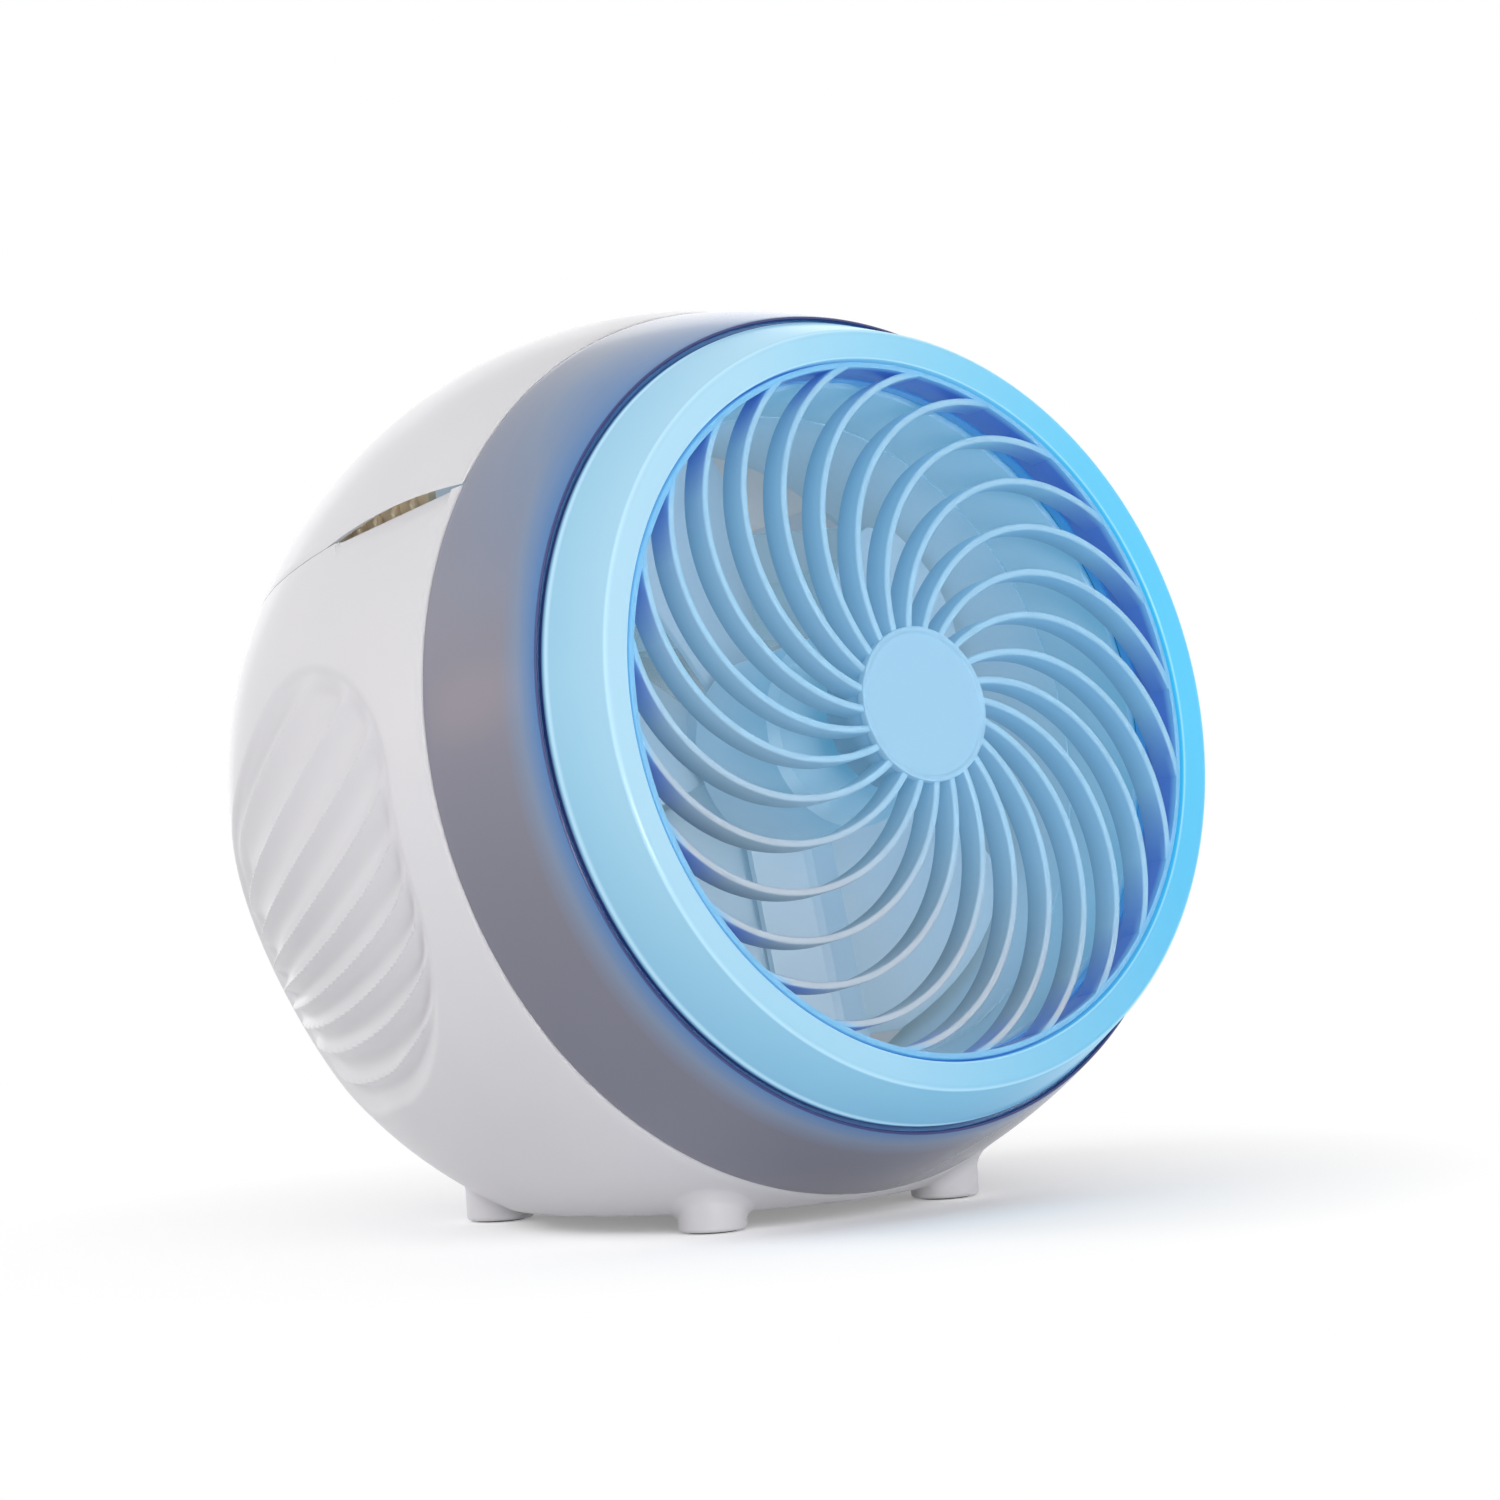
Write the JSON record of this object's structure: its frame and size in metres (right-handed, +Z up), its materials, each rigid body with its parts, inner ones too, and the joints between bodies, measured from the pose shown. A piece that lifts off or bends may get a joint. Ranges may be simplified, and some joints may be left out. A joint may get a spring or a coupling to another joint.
{
  "type": "mini air cooler",
  "caption": "Ball-shaped desktop air cooler with a swirl grille, a lit ring, a spinning duct fan, a wetted filter, a water tank under a lift-off lid and two rear push buttons.",
  "frame": {"origin": "on the table under the middle of the object's bounding box", "axes": "+Z up, the grille faces -Y and looks 11.6 degrees upwards, X = 0 is the mirror plane of the ball"},
  "size_m": [0.1632, 0.1547, 0.1585],
  "materials": {
    "white_shell": "satin white",
    "grey_trim": "glossy lilac grey",
    "light_guide": "milky translucent, lit from behind",
    "pale_grille": "satin",
    "white_inner": "satin",
    "cream_liner": "matt",
    "clear_tank": "clear moulded plastic",
    "soft_seal": "matt",
    "filter_plastic": "matt",
    "filter_paper": "corrugated cellulose",
    "circuit_board": "lacquered",
    "lamp_body": "clear resin",
    "black_plastic": "matt",
    "motor_steel": "drawn steel can",
    "bright_steel": "bright",
    "button_grey": "satin",
    "foot_rubber": "matt"
  },
  "bodies": {
    "housing": {"main_housing": "white_shell", "trim_band": "grey_trim", "light_ring": "light_guide", "led_board": "circuit_board", "lamps": "lamp_body", "front_grille": "pale_grille", "grille_cap": "pale_grille", "inner_duct": "white_inner", "fan_shroud": "white_inner", "motor_bracket": "white_inner", "fan_motor": "motor_steel", "water_tank": "clear_tank", "drip_valve": "soft_seal", "filter_frame": "filter_plastic", "filter_pad": "filter_paper", "rear_grille": "white_shell", "control_board": "circuit_board", "tact_switches": "black_plastic", "usb_socket": "bright_steel", "foot_pad_fl": "foot_rubber", "foot_pad_fr": "foot_rubber", "foot_pad_rl": "foot_rubber", "foot_pad_rr": "foot_rubber"},
    "fan": {"fan_impeller": "white_inner", "motor_shaft": "bright_steel"},
    "lid": {"lid": "white_shell", "lid_liner": "cream_liner"},
    "button_power": {"button_power": "button_grey"},
    "button_light": {"button_light": "button_grey"}
  },
  "joints": [
    {"name": "fan_spin", "type": "hinge", "parent": "housing", "child": "fan", "pos_m": [0, -0.00493, 0.076], "axis": [0, -0.9796, 0.2011], "continuous": true},
    {"name": "lid_lift", "type": "slide", "parent": "housing", "child": "lid", "axis": [0, 0.314, 0.9494], "range_m": [0, 0.06]},
    {"name": "power_press", "type": "slide", "parent": "housing", "child": "button_power", "axis": [0, -0.7071, 0.7071], "range_m": [0, 0.0008], "stiffness_N_per_m": 400, "springref_m": -0.0005},
    {"name": "light_press", "type": "slide", "parent": "housing", "child": "button_light", "axis": [0, -0.7071, 0.7071], "range_m": [0, 0.0008], "stiffness_N_per_m": 400, "springref_m": -0.0005}
  ]
}
